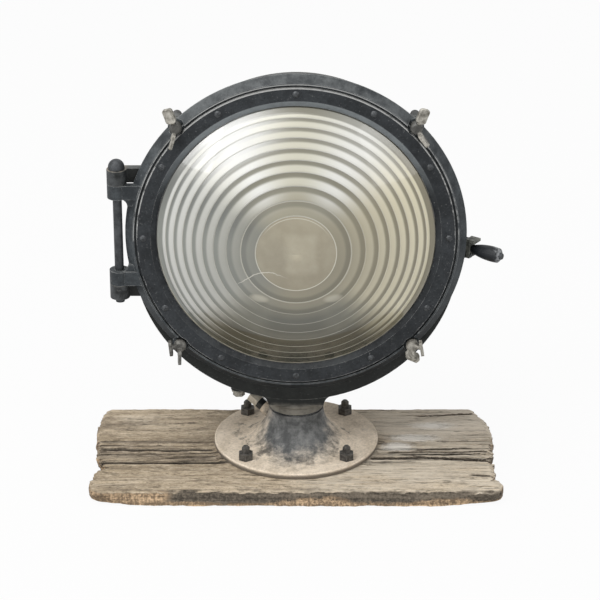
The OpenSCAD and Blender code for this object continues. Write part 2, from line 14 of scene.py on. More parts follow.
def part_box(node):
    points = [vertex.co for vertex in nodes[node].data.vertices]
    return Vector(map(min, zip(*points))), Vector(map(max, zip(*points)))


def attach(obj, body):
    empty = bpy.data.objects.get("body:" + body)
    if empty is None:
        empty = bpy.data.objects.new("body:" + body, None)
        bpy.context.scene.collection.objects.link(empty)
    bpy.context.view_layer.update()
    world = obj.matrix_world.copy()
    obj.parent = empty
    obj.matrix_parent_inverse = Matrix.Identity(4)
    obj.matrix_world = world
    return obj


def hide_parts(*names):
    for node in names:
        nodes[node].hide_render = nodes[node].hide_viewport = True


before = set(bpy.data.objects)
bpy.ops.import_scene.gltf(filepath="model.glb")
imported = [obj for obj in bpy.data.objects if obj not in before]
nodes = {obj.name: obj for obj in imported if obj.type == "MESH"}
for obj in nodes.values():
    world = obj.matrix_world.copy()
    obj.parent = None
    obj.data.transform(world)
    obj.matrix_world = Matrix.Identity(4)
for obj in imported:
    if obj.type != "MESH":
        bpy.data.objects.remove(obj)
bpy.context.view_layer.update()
AXIS_Z = 0.326
LENS_Y = -0.052

# %% [markdown]
# ## Camera
# The camera looks down on the lamp by a little less than 25 degrees from almost three metres away.
# A long lens keeps the perspective as mild as it is in a studio picture.

# %% Place the camera
CAMERA_PLACE = (0.0048, -2.9413, 1.5683)
LOOK_DOWN = 24.634
camera_data = bpy.data.cameras.new("camera")
camera_data.sensor_width = 36.0
camera_data.lens = 156.0
camera = bpy.data.objects.new("camera", camera_data)
camera.location = CAMERA_PLACE
camera.rotation_euler = (math.radians(90 - LOOK_DOWN), 0, 0)
bpy.context.scene.collection.objects.link(camera)
bpy.context.scene.camera = camera
print("camera at", tuple(camera.location))

# %% [markdown]
# ## Writing finishes as sums
# A shader is a chain of small nodes. Adding them one by one hides the idea, so a small class wraps
# a socket, and plain Python sums on it add the Math nodes. A second class holds one material.

# %% Values that add their own nodes
class Value:
    """One output socket of a finish. Sums on it add Math nodes."""

    def __init__(self, finish, socket):
        self.finish = finish
        self.socket = socket

    def __add__(self, other):
        return self.finish.math("ADD", self, other)

    __radd__ = __add__

    def __sub__(self, other):
        return self.finish.math("SUBTRACT", self, other)

    def __rsub__(self, other):
        return self.finish.math("SUBTRACT", other, self)

    def __mul__(self, other):
        return self.finish.math("MULTIPLY", self, other)

    __rmul__ = __mul__

    def __truediv__(self, other):
        return self.finish.math("DIVIDE", self, other)

    def __pow__(self, other):
        return self.finish.math("POWER", self, other)

    def __abs__(self):
        return self.finish.math("ABSOLUTE", self)


class Finish:
    """One material, built from values."""

    def __init__(self, name):
        self.material = bpy.data.materials.new(name)
        self.material.use_nodes = True
        self.tree = self.material.node_tree
        self.tree.nodes.clear()
        self.places = {}

    def add(self, kind, settings=None, inputs=None, output=0):
        node = self.tree.nodes.new(kind)
        for key, value in (settings or {}).items():
            if key == "stops":
                ramp = node.color_ramp
                while len(ramp.elements) > 1:
                    ramp.elements.remove(ramp.elements[-1])
                ramp.elements[0].position = value[0][0]
                ramp.elements[0].color = (*([value[0][1]] * 3), 1)
                for position, level in value[1:]:
                    ramp.elements.new(position).color = (level, level, level, 1)
            else:
                setattr(node, key, value)
        for key, value in (inputs or {}).items():
            if isinstance(value, Value):
                self.tree.links.new(value.socket, node.inputs[key])
            else:
                node.inputs[key].default_value = value
        return Value(self, node.outputs[output])

    def math(self, operation, *values):
        return self.add("ShaderNodeMath", {"operation": operation}, dict(enumerate(values)))

    def ramp(self, value, low, high):
        """Goes smoothly from 0 at low to 1 at high."""
        return self.add("ShaderNodeMapRange", {"interpolation_type": "SMOOTHSTEP"},
                        {"Value": value, "From Min": low, "From Max": high})

    def mix(self, share, first, second):
        """A colour between two colours."""
        def full(colour):
            return colour if isinstance(colour, Value) else (*colour, 1)
        # On the Mix node, inputs 6 and 7 and output 2 are the ones for colours
        inputs = {0: share, 6: full(first), 7: full(second)}
        return self.add("ShaderNodeMix", {"data_type": "RGBA"}, inputs, 2)

    def place(self, axis):
        """Object coordinate: 0 is X, 1 is Y, 2 is Z, and None is all three."""
        if "all" not in self.places:
            self.places["all"] = self.add("ShaderNodeTexCoord", output="Object")
        if axis is None:
            return self.places["all"]
        if axis not in self.places:
            self.places[axis] = self.add("ShaderNodeSeparateXYZ", None, {0: self.places["all"]}, axis)
        return self.places[axis]

    def noise(self, scale, detail=4.0, rough=0.55, stretch=None):
        """Cloudy pattern from 0 to 1, with scale in waves per metre."""
        where = self.place(None)
        if stretch:
            where = self.add("ShaderNodeVectorMath", {"operation": "MULTIPLY"}, {0: where, 1: stretch})
        return self.add("ShaderNodeTexNoise", None,
                        {"Vector": where, "Scale": scale, "Detail": detail, "Roughness": rough}, "Fac")

    def radius(self):
        """Distance from the lens axis."""
        x = self.place(0)
        z = self.place(2) - AXIS_Z
        return (x * x + z * z) ** 0.5

    def ball(self, y, z):
        """Distance from a point in the middle plane."""
        dx, dy, dz = self.place(0), self.place(1) - y, self.place(2) - z
        return (dx * dx + dy * dy + dz * dz) ** 0.5

    def facing(self, axis):
        """How far the surface faces along an axis, from -1 to 1."""
        normal = self.add("ShaderNodeNewGeometry", output="Normal")
        return self.add("ShaderNodeSeparateXYZ", None, {0: normal}, axis)

    def edge(self, width):
        """1 along sharp edges and 0 on the open surface."""
        soft = self.add("ShaderNodeBevel", {"samples": 4}, {"Radius": width})
        hard = self.add("ShaderNodeNewGeometry", output="Normal")
        same = self.add("ShaderNodeVectorMath", {"operation": "DOT_PRODUCT"}, {0: soft, 1: hard}, "Value")
        return self.ramp(1 - same, 0.015, 0.12)

    def bump(self, height, depth, strength=1.0, normal=None):
        inputs = {"Height": height, "Distance": depth, "Strength": strength}
        if normal is not None:
            inputs["Normal"] = normal
        return self.add("ShaderNodeBump", None, inputs)

    def surface(self, **inputs):
        """The last node: a Principled shader with these values."""
        named = {key.replace("_", " "): value for key, value in inputs.items()}
        shader = self.add("ShaderNodeBsdfPrincipled", None, named)
        out = self.tree.nodes.new("ShaderNodeOutputMaterial")
        self.tree.links.new(shader.socket, out.inputs["Surface"])
        return self.material


def dress(material, *names):
    """Gives CAD nodes a finish."""
    for name in names:
        slots = nodes[name].data.materials
        slots.clear()
        slots.append(material)


# %% [markdown]
# ## Floor and light
# The lamp stands on a white sweep in a bright, soft studio. The floor is a large pale sheet.
# For the eye and for reflections it is mixed with plain white, which keeps a faint shadow under the board.

# %% Floor, sky and lamps
bpy.ops.object.select_all(action="DESELECT")
bpy.ops.mesh.primitive_plane_add(size=14, location=(0, 0, -0.0005))
floor = bpy.context.object
floor.name = "studio_floor"
bpy.ops.object.mode_set(mode="EDIT")
bpy.ops.mesh.subdivide(number_cuts=3)
bpy.ops.object.mode_set(mode="OBJECT")
floor_finish = Finish("studio_floor")
seen = floor_finish.add("ShaderNodeLightPath", output="Is Camera Ray")
glossy = floor_finish.add("ShaderNodeLightPath", output="Is Glossy Ray")
through = floor_finish.add("ShaderNodeLightPath", output="Is Transmission Ray")
share = floor_finish.math("MINIMUM", seen + glossy + through, 1.0) * 0.95
paper = floor_finish.add("ShaderNodeBsdfDiffuse", None, {"Color": (0.58, 0.58, 0.58, 1)})
white = floor_finish.add("ShaderNodeEmission", None, {"Color": (1, 1, 1, 1), "Strength": 1.0})
both = floor_finish.add("ShaderNodeMixShader", None, {0: share, 1: paper, 2: white})
floor_out = floor_finish.tree.nodes.new("ShaderNodeOutputMaterial")
floor_finish.tree.links.new(both.socket, floor_out.inputs["Surface"])
floor.data.materials.append(floor_finish.material)

world = bpy.data.worlds.new("studio")
world.use_nodes = True
bpy.context.scene.world = world
links, made = world.node_tree.links, world.node_tree.nodes
made.clear()
path = made.new("ShaderNodeLightPath")
sky = made.new("ShaderNodeBackground")
plain = made.new("ShaderNodeBackground")
pick = made.new("ShaderNodeMixShader")
top = made.new("ShaderNodeMath")
top.operation = "MAXIMUM"
last = made.new("ShaderNodeMath")
last.operation = "MAXIMUM"
world_out = made.new("ShaderNodeOutputWorld")
sky.inputs["Color"].default_value = (1, 1, 1, 1)
sky.inputs["Strength"].default_value = 0.55
plain.inputs["Color"].default_value = (1, 1, 1, 1)
plain.inputs["Strength"].default_value = 0.966
links.new(path.outputs["Is Camera Ray"], top.inputs[0])
links.new(path.outputs["Is Transmission Ray"], top.inputs[1])
links.new(top.outputs[0], last.inputs[0])
links.new(path.outputs["Is Glossy Ray"], last.inputs[1])
links.new(last.outputs[0], pick.inputs[0])
links.new(sky.outputs[0], pick.inputs[1])
links.new(plain.outputs[0], pick.inputs[2])
links.new(pick.outputs[0], world_out.inputs["Surface"])


def lamp(name, place, aim, size, power):
    """A soft square lamp that looks at a point."""
    data = bpy.data.lights.new(name, "AREA")
    data.size = size
    data.energy = power
    light = bpy.data.objects.new(name, data)
    light.location = place
    light.rotation_euler = (Vector(aim) - Vector(place)).to_track_quat("-Z", "Y").to_euler()
    bpy.context.scene.collection.objects.link(light)


lamp("top_softbox", (-0.7, -0.6, 2.3), (0, 0, 0.25), 1.6, 34)
lamp("side_softbox", (-2.2, -1.6, 1.5), (0, 0, 0.3), 1.2, 22)
lamp("fill_softbox", (2.2, -1.8, 1.4), (0, 0, 0.3), 1.5, 14)
print("studio ready")

# %% [markdown]
# ## Worn black paint
# The castings were brushed with black paint many times. It is slate grey by now, paler where hands and
# weather rubbed the edges, and dusty on top. A Bevel node finds the edges of the exact solids, so the
# wear follows every corner. The inside of the bowl is painted pale, as a lamp room would be.

# %% Worn black paint
BOWL_Y, BOWL_R = LENS_Y + 0.030, 0.1875
BELLY_Y, BELLY_Z, BELLY_R = LENS_Y + 0.052, AXIS_Z - 0.026, 0.2000
MOUTH_Y = LENS_Y + 0.0135
NECK_BEAD_Z = 0.098
LOWER_ARM_Z = 0.285
TOP_DUST, NECK_DUST, ARM_DUST = (0.20, 0.205, 0.20), (0.225, 0.212, 0.182), (0.300, 0.262, 0.208)
BEVEL_HIGHLIGHT, ARM_GREY, ROOM_PAINT = (0.30, 0.33, 0.345), (0.075, 0.080, 0.083), (0.55, 0.53, 0.46)


def worn_paint(name, dark, pale, rubbed, line=None, inside=False):
    """Paint with rubbed edges. A line is the radius of a thin ring, rubbed pale and with a painted highlight
    on its upper part, and inside is for the housing.
    """
    f = Finish(name)
    r = f.radius()
    clouds = f.noise(14, 6, 0.6)
    blotch = f.noise(52, 6, 0.7)
    specks = f.noise(380, 4, 0.65)
    chips = f.noise(130, 6, 0.7)
    colour = f.mix(f.ramp(0.45 * clouds + 0.55 * blotch, 0.37, 0.62), dark, pale)
    colour = f.mix(f.ramp(specks, 0.60, 0.78) * 0.35, colour, rubbed)
    colour = f.mix(f.ramp(specks, 0.46, 0.30) * 0.60, colour, tuple(0.35 * c for c in dark))
    dust = f.ramp(f.facing(2), 0.20, 0.95) * f.ramp(0.5 * clouds + 0.5 * blotch, 0.34, 0.62)
    colour = f.mix(dust * 0.55, colour, TOP_DUST)
    # Painted shade: surfaces that face down are darker
    colour = f.mix(f.ramp(0 - f.facing(2), 0.05, 0.55) * 0.65, colour, tuple(0.3 * c for c in dark))
    # Painted highlight: the bevel beside the glass is pale on its upper part, where it faces the light
    bevel = f.ramp(0 - r, -0.1770, -0.1755) * f.ramp(r, 0.160, 0.168)
    bevel = bevel * f.ramp(f.place(2) - AXIS_Z, 0.04, 0.135)
    colour = f.mix(bevel * (0.35 + 0.65 * blotch), colour, BEVEL_HIGHLIGHT)
    wear = f.edge(0.0013) * f.ramp(f.noise(60, 5, 0.65), 0.36, 0.58)
    hinge = f.ramp(0 - f.place(0), 0.205, 0.215) * f.ramp(LOWER_ARM_Z - f.place(2), 0.0, 0.01)
    bare_and_highlight = f.math("MAXIMUM", wear * 0.8, f.ramp(chips + 0.07 * hinge, 0.69, 0.73) * 0.8)
    if line:
        # The thin ring is rubbed pale, with a painted highlight that grows towards the top
        rub_and_highlight = f.ramp(f.noise(34, 5, 0.7) + 0.9 * (f.place(2) - AXIS_Z), 0.46, 0.60)
        bare_and_highlight = f.math("MAXIMUM", bare_and_highlight, f.ramp(0.0010 - abs(r - line), 0.0, 0.0006) * rub_and_highlight * 0.9)
    colour = f.mix(bare_and_highlight, colour, rubbed)
    rough = 0.44 + 0.25 * clouds - 0.1 * bare_and_highlight + 0.1 * dust
    if inside:
        low = f.ramp(NECK_BEAD_Z + 0.010 * (blotch - 0.5) - f.place(2), 0.0, 0.011)
        low = low * (0.6 + 0.4 * f.ramp(blotch, 0.34, 0.58))
        colour = f.mix(low * 0.9, colour, NECK_DUST)
        arm = f.ramp(0 - f.place(0), 0.200, 0.210) * f.ramp(blotch, 0.30, 0.60)
        colour = f.mix(arm * 0.8, colour, ARM_GREY)
        colour = f.mix(arm * f.ramp(f.facing(2), 0.30, 0.85) * 0.9, colour, ARM_DUST)
        first = f.math("LESS_THAN", f.ball(BOWL_Y, AXIS_Z), BOWL_R)
        second = f.math("LESS_THAN", f.ball(BELLY_Y, BELLY_Z), BELLY_R)
        deep = f.math("GREATER_THAN", f.place(1), MOUTH_Y)
        room = f.math("MAXIMUM", first, second) * deep
        colour = f.mix(room, colour, ROOM_PAINT)
    relief = 0.6 * f.noise(240, 4, 0.6) + 0.4 * blotch - 0.5 * bare_and_highlight
    normal = f.bump(relief, 0.0012, 0.65)
    return f.surface(Base_Color=colour, Roughness=rough, Normal=normal, Specular_IOR_Level=0.28)


# The housing's black paint is darker than the door's, as painted shade for the housing below the door.
housing_paint_shaded = worn_paint("housing_paint_shaded", (0.004, 0.005, 0.0046), (0.013, 0.015, 0.014),
                           (0.20, 0.20, 0.19), inside=True)
door_paint = worn_paint("door_paint", (0.020, 0.024, 0.027), (0.062, 0.071, 0.077),
                        (0.34, 0.345, 0.34), line=0.1966)
ring_paint = worn_paint("ring_paint", (0.010, 0.012, 0.014), (0.030, 0.034, 0.038),
                        (0.46, 0.46, 0.45), line=0.1923)
dress(housing_paint_shaded, "housing")
dress(door_paint, "door_frame")
dress(ring_paint, "retaining_ring", "thrust_washer")
print("painted the castings")

# %% [markdown]
# ## Metal parts
# Steel screws and the hinge pin are dark and dull. The wing screws and the drain plug are bare metal, the
# gland nut is pale, and brass is used inside the lamp. Each gets blotches of tarnish, and its edges shine.

# %% Metals
THREAD_PITCH = 0.0018
BEHIND_DARK = (0.042, 0.043, 0.042)


def old_metal(name, dark, bright, rough, metallic, grain=90, thread=None, rim=0.0009, dark_behind=None):
    """Tarnished metal with painted shade in its hollows. A thread is the axis of its turns, and behind a
    given depth along Y it is near black.
    """
    f = Finish(name)
    blotch = f.noise(grain, 6, 0.65)
    colour = f.mix(f.ramp(blotch, 0.32, 0.68), dark, bright)
    rub = f.edge(rim)
    colour = f.mix(rub * 0.55, colour, tuple(min(1.0, c * 1.7) for c in bright))
    # Painted shade: hollows found by ambient occlusion are darker
    occlusion_shade = f.add("ShaderNodeAmbientOcclusion", {"samples": 6}, {"Distance": 0.007}, "AO")
    colour = f.mix(f.ramp(occlusion_shade, 0.62, 0.30) * 0.75, colour, tuple(0.25 * c for c in dark))
    if dark_behind is not None:
        # Darker behind a given depth along Y
        colour = f.mix(f.ramp(f.place(1), dark_behind - 0.0015, dark_behind) * 0.85, colour, BEHIND_DARK)
    relief = blotch
    if thread is not None:
        relief = relief + 0.7 * f.math("SINE", f.place(thread) * (2 * math.pi / THREAD_PITCH))
    normal = f.bump(relief, 0.0006, 0.5)
    return f.surface(Base_Color=colour, Roughness=rough - 0.15 * rub + 0.12 * blotch,
                     Metallic=metallic - 0.3 * blotch, Normal=normal)


dark_steel = old_metal("dark_steel", (0.018, 0.020, 0.022), (0.062, 0.067, 0.072), 0.5, 0.45)
stud_steel = old_metal("stud_steel", (0.022, 0.022, 0.022), (0.075, 0.075, 0.072), 0.55, 0.4, 160, thread=1)
screw_steel = old_metal("screw_steel", (0.014, 0.016, 0.018), (0.070, 0.075, 0.080), 0.40, 0.4, 260)
dusty_steel = old_metal("dusty_steel", (0.045, 0.047, 0.042), (0.190, 0.195, 0.170), 0.55, 0.2, 130)
bright_steel = old_metal("bright_steel", (0.25, 0.24, 0.22), (0.48, 0.47, 0.44), 0.42, 0.9)
bare_alloy = old_metal("bare_alloy", (0.15, 0.14, 0.12), (0.46, 0.44, 0.39), 0.45, 0.5, 150)
alloy_dark_behind = old_metal("alloy_dark_behind", (0.13, 0.12, 0.10), (0.47, 0.45, 0.40), 0.45, 0.5, 150,
                        dark_behind=LENS_Y - 0.0085)
dull_alloy = old_metal("dull_alloy", (0.050, 0.048, 0.043), (0.215, 0.208, 0.190), 0.5, 0.4, 150)
rusty_iron = old_metal("rusty_iron", (0.026, 0.023, 0.020), (0.105, 0.097, 0.085), 0.62, 0.3, 190,
                       thread=2, rim=0.0016)
pale_alloy = old_metal("pale_alloy", (0.36, 0.32, 0.25), (0.62, 0.57, 0.48), 0.5, 0.4)
old_brass = old_metal("old_brass", (0.32, 0.25, 0.14), (0.66, 0.56, 0.38), 0.45, 0.75)
dress(dark_steel, "hinge_pin", "ring_nut", "handle_screws", "handle_bolt")
dress(dusty_steel, "handle_bracket")
dress(stud_steel, "clamp_sleeves")
dress(screw_steel, "ring_screws")
dress(bright_steel, "lamp_bracket", "lamp_bracket_screws", "mirror_stud", "lamp_filament")
dress(bare_alloy, "wing_screw_tl", "wing_screw_tr", "wing_screw_bl", "wing_screw_br", "drain_plug")
dress(rusty_iron, "base_bolts", "base_nuts")
dress(pale_alloy, "gland_nut")
dress(old_brass, "pan_bush", "lamp_cap", "terminal_screws")
print("metals ready")

# %% [markdown]
# ## Dusty cast pedestal
# The bell is bare dark casting. Dry dust lies on the foot and thins out up the flare.

# %% Pedestal
FOOT_RIM_Z = 0.030
f = Finish("dusty_casting")
x, y = f.place(0), f.place(1)
reach = (x * x + y * y) ** 0.5
clouds = f.noise(22, 6, 0.62)
blotch = f.noise(58, 6, 0.72)
fine = f.noise(300, 4, 0.65)
iron = f.mix(f.ramp(0.4 * clouds + 0.6 * blotch, 0.38, 0.62), (0.060, 0.062, 0.062), (0.215, 0.217, 0.213))
dust = f.mix(f.ramp(0.3 * fine + 0.7 * blotch, 0.32, 0.66), (0.54, 0.45, 0.340), (0.84, 0.725, 0.585))
cover = f.ramp(reach + 0.045 * (clouds - 0.5) + 0.045 * (blotch - 0.5) + 0.40 * y - 0.05 * x, 0.030, 0.056)
colour = f.mix(cover * (0.86 + 0.14 * f.ramp(fine, 0.30, 0.55)), iron, dust)
smudge = f.ramp(f.noise(36, 5, 0.68), 0.53, 0.66)
smudge = smudge * f.ramp(reach, 0.046, 0.056) * f.ramp(0 - reach, -0.098, -0.070)
colour = f.mix(smudge * 0.75, colour, (0.048, 0.047, 0.045))
colour = f.mix(f.ramp(fine, 0.66, 0.76) * 0.35, colour, (0.10, 0.088, 0.072))
# Painted shade: the side of the foot below its rim is darker
side = f.ramp(0.7 - f.facing(2), 0.0, 0.3) * f.ramp(reach, 0.097, 0.101)
side = side * f.ramp(FOOT_RIM_Z - f.place(2) + 0.004 * (blotch - 0.5), 0.001, 0.005)
colour = f.mix(side * 0.85, colour, (0.075, 0.063, 0.050))
colour = f.mix(f.edge(0.0015) * f.ramp(blotch, 0.42, 0.60) * 0.6, colour, (0.09, 0.08, 0.07))
normal = f.bump(0.6 * fine + 0.5 * blotch, 0.0015, 0.7)
casting = f.surface(Base_Color=colour, Roughness=0.60 + 0.28 * cover, Normal=normal,
                    Specular_IOR_Level=0.35)
dress(casting, "pedestal")
print("pedestal dusted")

# %% [markdown]
# ## Grip, rubber and lamp parts
# The grip and the gland body are black moulded plastic. The end of the grip is scuffed pale.

# %% Plastics, rubber and ceramic
def moulded(name, dark, pale, rough, coat=0.0):
    f = Finish(name)
    blotch = f.noise(120, 5, 0.6)
    return f.surface(Base_Color=f.mix(blotch, dark, pale), Roughness=rough + 0.2 * blotch,
                     Normal=f.bump(blotch, 0.0004, 0.3), Coat_Weight=coat)


dress(moulded("black_moulding", (0.007, 0.008, 0.009), (0.022, 0.024, 0.025), 0.28, 0.12), "gland_body")
dress(moulded("brown_block", (0.03, 0.02, 0.014), (0.06, 0.042, 0.03), 0.35), "terminal_block")
dress(moulded("glazed_clay", (0.62, 0.59, 0.52), (0.76, 0.73, 0.66), 0.15, 0.4), "lamp_socket")
rubber = moulded("black_rubber", (0.016, 0.016, 0.016), (0.04, 0.04, 0.04), 0.65)
dress(rubber, "gland_seal", "door_gasket", "lens_gaskets")
dress(moulded("red_sleeving", (0.10, 0.03, 0.025), (0.16, 0.055, 0.045), 0.55), "lamp_leads")

f = Finish("worn_grip")
scuff = f.noise(330, 5, 0.7)
grip_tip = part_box("handle_grip")[1][0]
tip = f.ramp(f.place(0) + 0.012 * (scuff - 0.5), grip_tip - 0.012, grip_tip - 0.004)
tip = tip * f.ramp(scuff, 0.40, 0.56)
black = f.mix(scuff, (0.004, 0.005, 0.007), (0.012, 0.014, 0.017))
grip = f.surface(Base_Color=f.mix(tip * 0.85, black, (0.34, 0.35, 0.36)), Roughness=0.34 + 0.25 * scuff,
                 Normal=f.bump(scuff, 0.0005, 0.35), Specular_IOR_Level=0.30)
dress(grip, "handle_grip")

f = Finish("silvered_mirror")
mist = f.noise(40, 5, 0.6)
dress(f.surface(Base_Color=f.mix(mist, (0.82, 0.83, 0.84), (0.70, 0.70, 0.69)), Metallic=1.0,
                Roughness=0.06 + 0.15 * mist), "back_mirror")

f = Finish("bulb_glass")
mist = f.noise(60, 3, 0.5)
dress(f.surface(Base_Color=f.mix(mist, (0.95, 0.96, 0.96), (0.88, 0.88, 0.86)), Roughness=0.02 + 0.06 * mist,
                Transmission_Weight=0.95, IOR=1.45), "lamp_globe")
print("small parts ready")

# %% [markdown]
# ## The stepped lens
# A searchlight lens is a thin dome with prism rings pressed into its back. Through the smooth front,
# each ring shows as a slanted band with a thin step. The dome keeps its smooth gloss in a clear coat,
# and a sawtooth bump below it tilts each band, so that the light falls on the rings as on real prisms.

# %% Rings of the lens
RING_EDGES = [0.0484, 0.0668, 0.0835, 0.0994, 0.1127, 0.1253, 0.1369, 0.1478, 0.1578, 0.1637]
LENS_REACH = 0.170
STEP = 0.0005
# Stops in one ring, by share of its width, and stops across one step, in half widths
BAND = ((0.03, 0.88), (0.14, 0.78), (0.26, 1.0), (0.50, 0.9), (0.70, 0.18), (0.97, 0.0))
LINE = ((-2, 0.0), (0, 1.0), (2, 0.0))
slope_stops = [(0.0, 0.5), ((RING_EDGES[0] - STEP) / LENS_REACH, 0.42)]
band_stops = [(0.0, 0.55), ((RING_EDGES[0] - STEP) / LENS_REACH, 0.62)]
line_stops = [(0.0, 0.0)]
for start, end in zip(RING_EDGES, RING_EDGES[1:]):
    slope_stops += [((start + STEP) / LENS_REACH, 1.0), ((end - STEP) / LENS_REACH, 0.0)]
    wide = end - start
    band_stops += [((start + share * wide) / LENS_REACH, level) for share, level in BAND]
for edge in RING_EDGES[:-1]:
    line_stops += [((edge + shift * STEP) / LENS_REACH, level) for shift, level in LINE]
print("lens rings:", len(RING_EDGES), "stops:", len(band_stops), len(line_stops))

# %% [markdown]
# The room behind the glass is pale, and the sky above it is bright. The rings carry painted light: painted
# highlights and reflections make them white at the top and left and warm at the right, and painted shade
# makes them dark at the bottom, where thin painted highlights mark the steps.
# The back of the old glass is cloudy and lets little through, so these painted shades stand in for what real
# prisms show.

# %% Light and dark of the glass
f = Finish("lens_glass")
r = f.radius() + 0.0001
x, height = f.place(0), f.place(2) - AXIS_Z
share = r / LENS_REACH
slope = f.add("ShaderNodeValToRGB", {"stops": slope_stops}, {"Fac": share})
# A colour ramp holds 32 stops at most, so the bands are shared out over two
SECOND_RAMP = 26
bands = [f.add("ShaderNodeValToRGB", {"stops": part}, {"Fac": share})
         for part in (band_stops[:SECOND_RAMP], band_stops[SECOND_RAMP:])]
change = 0.5 * (band_stops[SECOND_RAMP - 1][0] + band_stops[SECOND_RAMP][0])
band = bands[0] + f.math("GREATER_THAN", share, change) * (bands[1] - bands[0])
line = f.add("ShaderNodeValToRGB", {"stops": line_stops}, {"Fac": share})
thin = f.ramp(line, 0.3, 0.9)
cloud = f.noise(9, 4, 0.5)
mist = f.noise(46, 5, 0.6)
far = f.ramp(r, 0.045, 0.168)
outer = f.ramp(r, 0.045, 0.100)
top = f.ramp(height / r, 0.45, 0.95)
left = f.ramp((0.35 * height - x) / r, -0.35, 0.75)
LOBE_SHARPNESS = 22.0


def reflected_streak(side):
    """A painted reflection of a lamp: a soft streak to one side of the top."""
    return f.math("MAXIMUM", (0.866 * height + side * 0.5 * x) / r, 0.0) ** LOBE_SHARPNESS


# Painted reflections: the two lamps above show as soft streaks on the upper rings.
sheen = f.math("MINIMUM", reflected_streak(-1) + reflected_streak(1) * 0.9, 1.0) * f.ramp(r, 0.050, 0.085)
# Painted light on the rings: lit is their painted light and shade their painted shade.
warm = f.mix(far, (0.39, 0.352, 0.250), (0.84, 0.775, 0.565))
cool = f.mix(far, (0.28, 0.278, 0.235), (0.61, 0.61, 0.575))
lit = f.mix(left, warm, cool)
lit = f.mix(top, lit, f.mix(f.ramp(r, 0.072, 0.088), (0.42, 0.39, 0.29), (0.56, 0.54, 0.43)))
lit = f.mix(sheen, lit, (0.80, 0.80, 0.765))
climb = f.ramp(height / r, 0.05, 0.50)
shade = f.mix(left, (0.245, 0.218, 0.140), f.mix(climb, (0.215, 0.225, 0.200), (0.135, 0.142, 0.128)))
shade = f.mix(f.ramp(r, 0.095, 0.060) * 0.45, shade, (0.080, 0.078, 0.058))
shade = f.mix(top, shade, (0.190, 0.180, 0.130))
# Painted reflection: the upper left lamp turns the outer rings white.
white_end = reflected_streak(-1) * f.ramp(r, 0.118, 0.134)
shade = f.mix(sheen * f.ramp(r, 0.09, 0.16) * 0.75, shade, (0.42, 0.42, 0.39))
shade = f.mix(white_end, shade, (0.76, 0.76, 0.74))
level = f.ramp(band + 0.10 * (mist - 0.5), 0.05, 0.95)
colour = f.mix(level * (0.40 + 0.60 * outer) + 0.16 * (1 - outer), shade, lit)
edge_light = f.mix(top, (0.62, 0.60, 0.51), (0.80, 0.79, 0.72))
colour = f.mix(thin * (0.45 + 0.3 * mist), colour, edge_light)
print("upper glass shaded")

# %% Painted shade at the bottom, middle and crack
DISC_R, SECOND_R, INNER_R = 0.0486, 0.0662, 0.0455
GLINT_X, GLINT_DOWN = 0.0445, 0.0615
down = (0 - height) / r
# Painted shade: the rings go dark towards the bottom, and thin painted highlights mark the steps there.
wedge = f.ramp(down + 0.18 * (cloud - 0.5), 0.56, 0.88) * f.ramp(r, 0.050, 0.098)
lower_shade = f.mix(f.ramp(r, 0.118, 0.132), f.mix(cloud, (0.125, 0.124, 0.092), (0.175, 0.172, 0.130)),
             f.mix(cloud, (0.045, 0.045, 0.030), (0.095, 0.092, 0.064)))
lower_shade = f.mix(f.ramp(down, 0.90, 0.98) * f.ramp(0 - r, -0.125, -0.115) * 0.45, lower_shade, (0.050, 0.052, 0.038))
lower = f.mix(thin * (0.35 + 0.5 * mist), lower_shade, (0.56, 0.53, 0.43))
colour = f.mix(wedge, colour, lower)
disc = f.ramp(0 - r, -DISC_R, -0.0470)
middle = f.mix(f.ramp(0.5 * cloud + 0.5 * mist, 0.36, 0.64), (0.315, 0.275, 0.190), (0.395, 0.352, 0.252))
colour = f.mix(disc * 0.85, colour, middle)
# Painted highlight: a pale patch for the lit lamp seen through the middle of the glass.
patch = f.ramp(0.020 - abs(x - 0.0065) + 0.006 * (mist - 0.5), -0.005, 0.006)
patch = patch * f.ramp(0.025 - abs(height + 0.001), -0.006, 0.006)
colour = f.mix(patch * (0.15 + 0.25 * mist), colour, (0.60, 0.55, 0.42))
# Painted highlights: thin bright lines on the inner steps, the third only on the upper half.
inner = f.ramp(0.0009 - abs(r - DISC_R), 0.0, 0.0006)
inner = f.math("MAXIMUM", inner, f.ramp(0.0008 - abs(r - SECOND_R), 0.0, 0.0006) * 0.8)
inner = f.math("MAXIMUM", inner, f.ramp(0.0007 - abs(r - INNER_R), 0.0, 0.0005) * top)
colour = f.mix(inner * 0.62, colour, (0.70, 0.67, 0.56))
# Two soft glints below the middle
for side in (-1, 1):
    across, up = x - side * GLINT_X, height + GLINT_DOWN
    glint = (across * 0.85 + up * side * 0.5) ** 2.0 + (up * 1.9 - across * side * 0.5) ** 2.0
    colour = f.mix(f.ramp(0 - glint, -0.00018, 0.0) * 0.5, colour, (0.66, 0.62, 0.50))
# A hairline crack at the left of the middle
bend = -0.0240 + 0.30 * (x + 0.0335) * f.ramp(0 - x, 0.025, 0.060) - 9.0 * (x + 0.040) * (x + 0.040)
crack = f.ramp(0.0010 - abs(height - bend + 0.005 * (f.noise(120, 3, 0.6) - 0.5)), 0.0, 0.0008)
crack = crack * f.ramp(x, -0.072, -0.066) * f.ramp(0 - x, 0.006, 0.034)
colour = f.mix(crack * (0.45 + 0.5 * mist), colour, (0.70, 0.67, 0.58))
